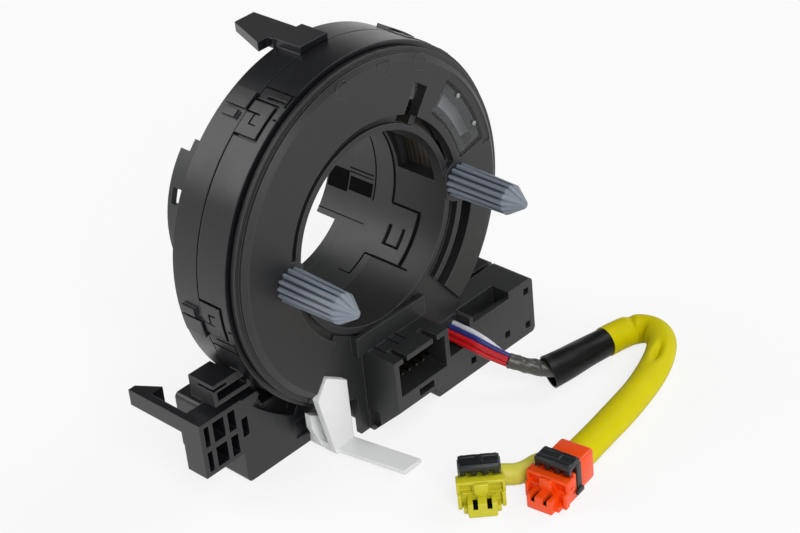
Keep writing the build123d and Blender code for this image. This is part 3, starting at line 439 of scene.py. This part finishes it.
# dark frame behind the lens and the pins that hold the lens
windowLook = {"frameDepths": (-0.9, -0.3), "cuts": 16,
              "bands": [((35.3, 37.3), (12.2, 43.8)), ((41.0, 43.5), (12.2, 43.8)),
                        ((37.2, 41.1), (12.2, 13.6)), ((37.2, 41.1), (42.2, 43.8))],
              "pinRadius": 0.7, "pinRise": 0.45, "pinBase": -1.75, "pins": [(43.2, 35.3), (43.0, 19.1)]}
frameBands = []
for radii, angles in windowLook["bands"]:
    frameBands.append(arcPlate(radii, angles, windowLook["frameDepths"], windowLook["cuts"]))
done(joined("window_frame", frameBands), "rotor", "frame")
pinPieces = []
for pinReach, pinAngle in windowLook["pins"]:
    pinPiece = added(bpy.ops.mesh.primitive_uv_sphere_add, segments=24, ring_count=12, radius=1.0)
    edited(pinPiece, bpy.ops.mesh.bisect, plane_co=(0, 0, 0), plane_no=(0, 1, 0), clear_outer=True,
           use_fill=True)
    turned = math.radians(pinAngle)
    pinPlace = Vector((pinReach * math.cos(turned), windowLook["pinBase"], pinReach * math.sin(turned)))
    pinSize = Vector((windowLook["pinRadius"], windowLook["pinRise"], windowLook["pinRadius"])) * mm
    pinPiece.data.transform(Matrix.Translation(pinPlace * mm) @ Matrix.Diagonal((*pinSize, 1.0)))
    pinPieces.append(pinPiece)
done(joined("window_pins", pinPieces), "rotor", "windowPin")

# walls that carry the cam's sleeve on to the rear, on the side that the hub shows
camLook = {"radii": (27.72, 29.45), "cuts": 48,
           "walls": [((-85.0, -44.0), (32.0, 36.5)), ((-44.7, 60.0), (32.0, 44.0))]}
camWalls = []
for angles, depths in camLook["walls"]:
    camWalls.append(arcPlate(camLook["radii"], angles, depths, camLook["cuts"]))
combine(camWalls[0], "UNION", camWalls[1:])
camWalls[0].name = "cam_rear_walls"
done(camWalls[0], "rotor", "cam")

# painted shade: dark plates that stand in for the shade in the gaps between the hub tube and the cam's
# sleeve, at the sleeve's inner steps and in its recesses
# each is its front and back depth, then its first and last angle
hubShadeLook = {"radii": (27.58, 27.85), "cuts": 24,
           "rounds": [(17.65, 18.3, -22.0, 64.0), (17.65, 18.3, 97.0, 184.0), (17.65, 18.3, 217.0, 272.0),
                      (25.1, 25.4, -26.0, 30.0), (20.5, 20.9, -72.0, -56.4), (24.5, 24.9, -90.0, -84.0),
                      (6.9, 8.05, -55.6, -23.0)],
           "straights": [(4.4, 20.8, -57.0, -55.8), (7.2, 18.0, -23.2, -21.9), (26.2, 35.4, -11.8, -11.1),
                         (26.2, 35.4, -14.2, -13.6), (26.0, 44.0, -41.4, -40.8), (20.5, 24.9, -72.6, -72.0)],
           "recesses": [(26.2, 35.0, -25.2, -16.6), (35.7, 43.4, -27.0, -14.0)]}
hubShadePieces = []
for front, back, start, end in hubShadeLook["rounds"] + hubShadeLook["straights"] + hubShadeLook["recesses"]:
    hubShadePieces.append(arcPlate(hubShadeLook["radii"], (start, end), (front, back), hubShadeLook["cuts"]))
done(joined("hub_gap_shade", hubShadePieces), "rotor", "gapShade")

# painted shade: dark lines on the case's snap latches that stand in for the shade in the slots round their
# spring arms; each latch has its angle and the way that it faces
latchShadeLook = {"cuts": 8, "latches": [(112.5, 1), (196.0, -1), (45.0, 1), (-6.0, -1)],
             "radii": (51.3, 51.48), "lines": [(2.0, 12.4, -0.6, -0.15), (2.1, 2.75, -0.6, 4.0),
                                               (2.1, 3.3, 8.3, 8.8)],
             "tongueRadii": (51.55, 51.78), "tongueLines": [(9.2, 9.6, 8.6, 12.2), (7.2, 9.6, 12.0, 12.4)]}
latchShadePieces = []
for latchAngle, facing in latchShadeLook["latches"]:
    for radiiName, linesName in (("radii", "lines"), ("tongueRadii", "tongueLines")):
        for front, back, start, end in latchShadeLook[linesName]:
            turns = sorted((latchAngle + facing * start, latchAngle + facing * end))
            latchShadePieces.append(arcPlate(latchShadeLook[radiiName], turns, (front, back), latchShadeLook["cuts"]))
done(joined("latch_slot_shade", latchShadePieces), "stator", "gapShade")

# round marks that the mould's pins left on the disc
markLook = {"radius": 2.4, "line": 0.16, "flatten": 0.4, "face": -2.0,
            "centres": [(8.6, 45.2), (21.8, 41.0), (-6.6, 45.2)]}
markFace = markLook["face"] * mm
markPieces = []
for markX, markZ in markLook["centres"]:
    markPiece = added(bpy.ops.mesh.primitive_torus_add, major_segments=48, minor_segments=8,
                      major_radius=markLook["radius"] * mm, minor_radius=markLook["line"] * mm,
                      rotation=(math.pi / 2, 0, 0), location=(markX * mm, markFace, markZ * mm))
    bpy.ops.object.transform_apply(location=True, rotation=True, scale=True)
    for vertex in markPiece.data.vertices:
        vertex.co.y = markFace + (vertex.co.y - markFace) * markLook["flatten"]
    markPieces.append(markPiece)
done(joined("disc_marks", markPieces), "rotor", "disc")
print("disc details made")

# squib plug, modelled once: x ahead, y across, z up from its base
plugLook = {"blocks": [((4.0, -5.5, 0.0), (12.0, 5.5, 8.2), 0.5), ((0.0, -4.4, 0.3), (5.0, 4.4, 7.4), 0.8),
                       ((8.6, -6.5, 4.4), (12.2, 6.5, 8.5), 0.4), ((12.0, -1.9, 4.3), (13.4, 1.9, 8.3), 0.4),
                       ((11.4, -3.9, 0.0), (16.6, 3.9, 4.5), 0.5), ((11.4, -5.0, 0.2), (14.8, 5.0, 2.1), 0.3),
                       *bothSides(((11.4, 5.3, 0.6), (13.3, 6.35, 5.2), 0.25))],
            "hollows": [((4.3, -3.7, 7.1), (9.9, 3.7, 9.0)), ((7.8, -5.7, 7.1), (9.9, 5.7, 9.0)),
                        *bothSides(((10.9, 2.35, 5.2), (14.0, 5.7, 7.7))),
                        *bothSides(((12.9, 1.2, 2.7), (17.0, 2.5, 5.2))),
                        *bothSides(((4.0, 4.2, 0.2), (6.7, 6.0, 9.0))),
                        *bothSides(((1.4, 4.0, 3.1), (4.4, 6.0, 3.8))),
                        *bothSides(((9.4, 6.15, 5.7), (11.7, 7.0, 6.3)))]}
plugModel = blockModel(plugLook)

# its push-down lock: cap with ridges, notches and four teeth, stem and two hooked legs
teethMiddles = (-4.5, -1.5, 1.5, 4.5)
notchMiddles = (-3.6, 0.0, 3.6)
plugLockLook = {"blocks": [((4.2, -5.5, 9.8), (9.7, 5.5, 11.6), 0.45),
                           ((4.7, -3.4, 8.7), (8.4, 3.4, 10.2), 0.2),
                           ((4.5, -4.9, 11.2), (5.6, 4.9, 11.9), 0.25),
                           ((7.8, -5.2, 11.2), (9.4, 5.2, 11.9), 0.25),
                           ((5.2, -1.1, 11.2), (8.2, 1.1, 11.8), 0.25),
                           *[((8.1, middle - 0.85, 8.6), (9.6, middle + 0.85, 10.3), 0.25)
                             for middle in teethMiddles],
                           *bothSides(((4.25, 4.35, 1.6), (6.45, 5.75, 10.4), 0.2)),
                           *bothSides(((4.3, 5.6, 1.6), (7.6, 6.5, 3.0), 0.3))],
                "hollows": [((3.8, middle - 0.6, 10.2), (4.75, middle + 0.6, 12.2))
                            for middle in notchMiddles]}
plugLockModel = blockModel(plugLockLook)

# painted shade: dark blocks that stand in for the shade in the two channels of the nose
channelShadeLook = {"blocks": bothSides(((12.8, 1.25, 2.55), (16.3, 2.45, 3.3), 0.15)), "hollows": []}
channelShadeModel = blockModel(channelShadeLook)

# the yellow plug comes first, because the orange one's boot over its tube is melted into the model
plugPlaces = {"yellow": {"corner": (-8.28, -39.98, -60.5), "heading": (-0.7071, -0.7071, 0.0),
                         "finish": "lemon", "boots": []},
              "orange": {"corner": (7.0, -59.6, -60.5), "heading": (-0.992, -0.125, 0.0),
                         "finish": "orange", "boots": [((-3.2, -5.0, 0.2), (4.1, 5.0, 9.7), 0.9)]}}
plugPieces = {}
for plugName, plugPlace in plugPlaces.items():
    combine(plugModel, "UNION", [blockBetween(*corners) for corners in plugPlace["boots"]])
    plugParts = [(plugModel, "_plug_shell", "rotor", plugPlace["finish"], [plugName + "_plug"]),
                 (plugLockModel, "_plug_latch", plugName + "_lock", "plugLock", [plugName + "_plug_lock"]),
                 (channelShadeModel, "_plug_channel_shade", "rotor", "gapShade", [])]
    plugPieces[plugName] = []
    for model, ending, body, finish, stands in plugParts:
        plugPiece = placedCopy(model, plugName + ending, plugPlace["corner"], plugPlace["heading"])
        done(plugPiece, body, finish, stands)
        plugPieces[plugName].append(plugPiece)
for model in (plugModel, plugLockModel, channelShadeModel):
    bpy.data.objects.remove(model)
print("plugs made")


def routeSpline(name, points):  # smooth line through the harness route, in millimetres
    line = bpy.data.curves.new(name, "CURVE")
    line.dimensions = "3D"
    line.resolution_u = 24
    spline = line.splines.new("NURBS")
    spline.points.add(len(points) - 1)
    for control, point in zip(spline.points, points):
        control.co = (*[value * mm for value in point], 1.0)
    spline.order_u = 3
    spline.use_endpoint_u = True
    return line


def readRoute(line):  # the points that the smooth line passes
    holder = bpy.data.objects.new("routeHolder", line)
    bpy.context.scene.collection.objects.link(holder)
    bpy.context.view_layer.update()
    mesh = bpy.data.meshes.new_from_object(holder.evaluated_get(bpy.context.evaluated_depsgraph_get()))
    passed = [vertex.co.copy() for vertex in mesh.vertices]
    bpy.data.meshes.remove(mesh)
    bpy.data.objects.remove(holder)
    return passed


leastSteps = 8
shortestRun = 1e-9


def evenly(points, spacing):  # the same line with its points at even distances
    runs = [0.0]
    for before, after in zip(points, points[1:]):
        runs.append(runs[-1] + (after - before).length)
    count = max(leastSteps, int(runs[-1] / spacing))
    even = []
    place = 0
    for step in range(count + 1):
        reach = runs[-1] * step / count
        while place < len(runs) - 2 and runs[place + 1] < reach:
            place += 1
        share = (reach - runs[place]) / max(shortestRun, runs[place + 1] - runs[place])
        even.append(points[place].lerp(points[place + 1], min(1.0, share)))
    return even


def smoothLine(name, look):
    return evenly(readRoute(routeSpline(name, look["route"])), look["spacing"] * mm)


def sweepTube(name, points, radiusAt, sides, wall=0.0):  # mesh tube with its radius from share and angle
    vertices = []
    along = [(after - before).normalized() for before, after in zip(points, points[1:])]
    along.append(along[-1])
    side = along[0].cross(worldUp).normalized()
    for place, point in enumerate(points):
        ahead = (along[max(0, place - 1)] + along[place]).normalized()
        side = (side - ahead * side.dot(ahead)).normalized()
        lift = ahead.cross(side)
        share = place / (len(points) - 1)
        for step in range(sides):
            angle = 2 * math.pi * step / sides
            reach = radiusAt(share, angle)
            vertices.append(point + side * math.cos(angle) * reach + lift * math.sin(angle) * reach)
    faces = []
    rings = range(0, len(vertices), sides)
    for before, after in zip(rings, rings[1:]):
        for step in range(sides):
            following = (step + 1) % sides
            faces.append((before + step, before + following, after + following, after + step))
    if not wall:
        faces.append(tuple(reversed(range(sides))))
        faces.append(tuple(range(rings[-1], len(vertices))))
    mesh = bpy.data.meshes.new(name)
    mesh.from_pydata([tuple(vertex) for vertex in vertices], [], faces)
    piece = bpy.data.objects.new(name, mesh)
    bpy.context.scene.collection.objects.link(piece)
    outward(piece)
    if wall:
        applied(piece, "SOLIDIFY", thickness=wall, offset=-1.0)
    return piece


def ripple(waves, share, angle):  # waves in a tube's wall: height, count round the tube, turn along it
    return sum(height * math.sin(around * angle + along * share) for height, around, along in waves)


# lead wires between the block and the tape, each set off from the route to its side and up
wireLook = {"diameter": 1.6, "sides": 20, "spacing": 0.4, "portY": -1.0,
            "route": [(24.6, -8.6, -46.6), (26.4, -14.6, -49.2), (28.2, -19.6, -51.0)]}
wirePlaces = {"wire_red_1": {"port": (1.2, -1.2), "end": (0.9, -0.8), "finish": "wireRed"},
              "wire_red_2": {"port": (0.8, 0.4), "end": (0.75, 0.75), "finish": "wireRed"},
              "wire_blue": {"port": (-0.5, 1.3), "end": (-0.7, 0.95), "finish": "wireBlue"},
              "wire_white": {"port": (-1.8, 2.0), "end": (-1.1, -0.4), "finish": "wireWhite"}}
bundleAhead = (Vector(wireLook["route"][2]) - Vector(wireLook["route"][1])).normalized()
bundleSide = bundleAhead.cross(worldUp).normalized()
bundleUp = bundleSide.cross(bundleAhead)


def wireRadius(share, angle):
    return wireLook["diameter"] / 2 * mm


for wireName, wirePlace in wirePlaces.items():
    wirePath = []
    for place, point in enumerate(wireLook["route"]):
        share = place / (len(wireLook["route"]) - 1)
        toSide, toTop = [between(ends, share ** 2) for ends in zip(wirePlace["port"], wirePlace["end"])]
        wirePath.append(Vector(point) + bundleSide * toSide + bundleUp * toTop)
    wirePath.insert(0, Vector((wirePath[0].x, wireLook["portY"], wirePath[0].z)))
    wireLine = smoothLine(wireName + "_route", {**wireLook, "route": wirePath})
    wirePiece = sweepTube(wireName + "_insulation", wireLine, wireRadius, wireLook["sides"])
    done(wirePiece, "rotor", wirePlace["finish"], [wireName])

# vinyl tape wound round the wires
tapeLook = {"radius": 2.16, "flare": 0.35, "turns": 3.0, "lap": 0.16, "lapPower": 4, "creaseRise": 4,
            "creases": [(0.07, 2, 9), (0.05, 5, -26)], "sides": 64, "spacing": 0.25,
            "route": [(28.2, -19.6, -51.0), (30.2, -22.5, -52.3), (33.4, -26.0, -54.0), (37.6, -29.2, -55.4)]}


def tapeRadius(share, angle):
    wound = (share * tapeLook["turns"] - angle / (2 * math.pi)) % 1.0
    lap = tapeLook["lap"] * wound ** tapeLook["lapPower"]
    crease = ripple(tapeLook["creases"], share, angle) * min(1.0, tapeLook["creaseRise"] * share)
    return (tapeLook["radius"] + lap + crease + tapeLook["flare"] * share * share) * mm


tapePiece = sweepTube("tape_wound", smoothLine("tape_route", tapeLook), tapeRadius, tapeLook["sides"])
done(tapePiece, "rotor", "tape", ["tape_wrap"])

# black sleeve over the tape's end, with a slanted mouth whose upper lip stands up
sleeveLook = {"radius": 4.8, "taper": 0.55, "wall": 0.5, "dents": [(0.1, 2, 4), (0.05, 5, -9)],
              "lip": 0.35, "lipRun": 0.05, "lipAngle": 0.6, "sides": 56, "spacing": 0.4,
              "slant": 2.8, "slantRun": 8.0, "longSide": (-0.13, -0.8, 0.585),
              "route": [(36.4, -28.6, -55.5), (56.2, -31.8, -55.5)]}
sleeveLine = evenly([Vector(point) * mm for point in sleeveLook["route"]], sleeveLook["spacing"] * mm)


def sleeveRadius(share, angle):
    dent = ripple(sleeveLook["dents"], share, angle)
    nearMouth = math.exp(-((share / sleeveLook["lipRun"]) ** 2))
    lip = sleeveLook["lip"] * nearMouth * max(0.0, -math.sin(angle - sleeveLook["lipAngle"]))
    return (sleeveLook["radius"] - sleeveLook["taper"] * share + dent + lip) * mm


sleevePiece = sweepTube("sleeve_shrunk", sleeveLine, sleeveRadius, sleeveLook["sides"],
                        sleeveLook["wall"] * mm)
sleeveAhead = (sleeveLine[-1] - sleeveLine[0]).normalized()
for vertex in sleevePiece.data.vertices:
    offset = vertex.co - sleeveLine[0]
    run = offset.dot(sleeveAhead)
    aside = (offset - sleeveAhead * run).normalized().dot(Vector(sleeveLook["longSide"]))
    longer = (1 + aside) / 2
    slanted = max(0.0, 1 - run / (sleeveLook["slantRun"] * mm))
    vertex.co -= sleeveAhead * sleeveLook["slant"] * mm * longer * slanted
done(sleevePiece, "rotor", "sleeve", ["harness_sleeve"])

# yellow tube to the orange plug, with its length in metres
# its folds are where it kinks: angle 0 is inside the bend, 4.7 is up
tubeLook = {"diameter": 9.0, "length": 0.0829, "inset": 0.1, "ripples": [(0.05, 3, 11), (0.04, 2, -23)],
            "sides": 72, "spacing": 0.4,
            "route": [(56.2, -31.8, -55.5), (60.5, -32.5, -55.5), (67.0, -34.6, -55.5), (68.8, -41.0, -55.5),
                      (62.8, -47.6, -55.5), (47.4, -53.4, -55.5), (26.0, -57.2, -55.5), (7.0, -59.6, -55.5)],
            "folds": [{"share": 0.175, "angle": 0.0, "along": 0.024, "around": 0.9, "depth": 2.7},
                      {"share": 0.115, "angle": 4.9, "along": 0.01, "around": 1.1, "depth": 0.95},
                      {"share": 0.15, "angle": 5.6, "along": 0.018, "around": 0.5, "depth": 0.9},
                      {"share": 0.385, "angle": 4.65, "along": 0.048, "around": 0.26, "depth": 2.3},
                      {"share": 0.26, "angle": 0.4, "along": 0.05, "around": 0.8, "depth": 0.5}]}
tubeLine = smoothLine("tube_route", tubeLook)


def tubeRadius(share, angle):
    reach = tubeLook["diameter"] / 2 - tubeLook["inset"] + ripple(tubeLook["ripples"], share, angle)
    for fold in tubeLook["folds"]:
        along = (share - fold["share"]) / fold["along"]
        around = ((angle - fold["angle"] + math.pi) % (2 * math.pi) - math.pi) / fold["around"]
        reach -= fold["depth"] * math.exp(-(along ** 2) - around ** 2)
    return reach * mm


tubePiece = sweepTube("tube_yellow", tubeLine, tubeRadius, tubeLook["sides"])
done(tubePiece, "rotor", "tube", ["yellow_tube"])

# branch to the yellow plug
branchLook = {"diameter": 6.0, "inset": 0.05, "ripples": [(0.04, 3, 0)], "sides": 40, "spacing": 0.4,
              "route": [(8.6, -57.4, -57.3), (5.6, -51.2, -57.3), (-3.2, -50.6, -57.2),
                        (-7.15, -47.05, -56.4), (-8.2, -46.0, -56.2)]}


def branchRadius(share, angle):
    wave = ripple(branchLook["ripples"], share, angle)
    return (branchLook["diameter"] / 2 - branchLook["inset"] + wave) * mm


branchLine = smoothLine("branch_route", branchLook)
branchPiece = sweepTube("branch_pale", branchLine, branchRadius, branchLook["sides"])
done(branchPiece, "rotor", "branch", ["branch_tube"])
print("harness made")

# floor that the camera, gloss and glass see as nearly white, with the shadow on it
floorLook = {"z": -60.7, "size": 6.0, "colour": tint(246, 246, 247), "roughness": 0.9, "white": 0.8}
floor = added(bpy.ops.mesh.primitive_plane_add, size=floorLook["size"], location=(0, 0, floorLook["z"] * mm))
floor.name = "floor"
floorFinish = Finish("floor_white")
floorFinish.set(Base_Color=floorLook["colour"], Roughness=floorLook["roughness"])
whiteRays = ("Is Camera Ray", "Is Glossy Ray", "Is Transmission Ray")
cameraRay, glossyRay, glassRay = [floorFinish.node("ShaderNodeLightPath", out=ray) for ray in whiteRays]
whiteShare = (cameraRay + glossyRay + glassRay) * floorLook["white"]
white = floorFinish.node("ShaderNodeEmission", inputs={"Color": pureWhite, "Strength": 1.0})
lit = Knot(floorFinish.tree, floorFinish.shader.outputs["BSDF"])
shown = floorFinish.node("ShaderNodeMixShader", inputs={0: whiteShare, 1: lit, 2: white})
feed(floorFinish.tree, floorFinish.tree.nodes["Material Output"].inputs["Surface"], shown)
floor.data.materials.append(floorFinish.material)

# lamps and white surroundings
lampLooks = [{"name": "keySoftbox", "place": (-0.55, -1.05, 1.0), "size": 0.9, "power": 15.0},
             {"name": "sideSoftbox", "place": (1.0, -0.35, 0.9), "size": 0.7, "power": 5.5},
             {"name": "rearSoftbox", "place": (-0.55, 0.85, 0.8), "size": 0.9, "power": 7.0}]
for lampLook in lampLooks:
    lampData = bpy.data.lights.new(lampLook["name"], "AREA")
    lampData.size = lampLook["size"]
    lampData.energy = lampLook["power"]
    lamp = bpy.data.objects.new(lampLook["name"], lampData)
    lamp.location = lampLook["place"]
    lamp.rotation_euler = (-Vector(lampLook["place"])).to_track_quat("-Z", "Y").to_euler()
    bpy.context.scene.collection.objects.link(lamp)

tentLook = {"heights": (0.05, 0.48), "strengths": (0.95, 0.1)}  # bright up to the horizon, dim overhead
world = bpy.data.worlds.new("whiteTent")
world.use_nodes = True
bpy.context.scene.world = world
tent = Finish("whiteTent", world.node_tree)
direction = tent.node("ShaderNodeTexCoord", out="Generated")
height = tent.node("ShaderNodeSeparateXYZ", inputs={0: direction}, out="Z")
glow = tent.ranged(height, tentLook["heights"], tentLook["strengths"], "SMOOTHSTEP")
backdrop = world.node_tree.nodes["Background"]
feed(tent.tree, backdrop.inputs["Color"], pureWhite)
feed(tent.tree, backdrop.inputs["Strength"], glow)
print("floor, lamps and surroundings set")
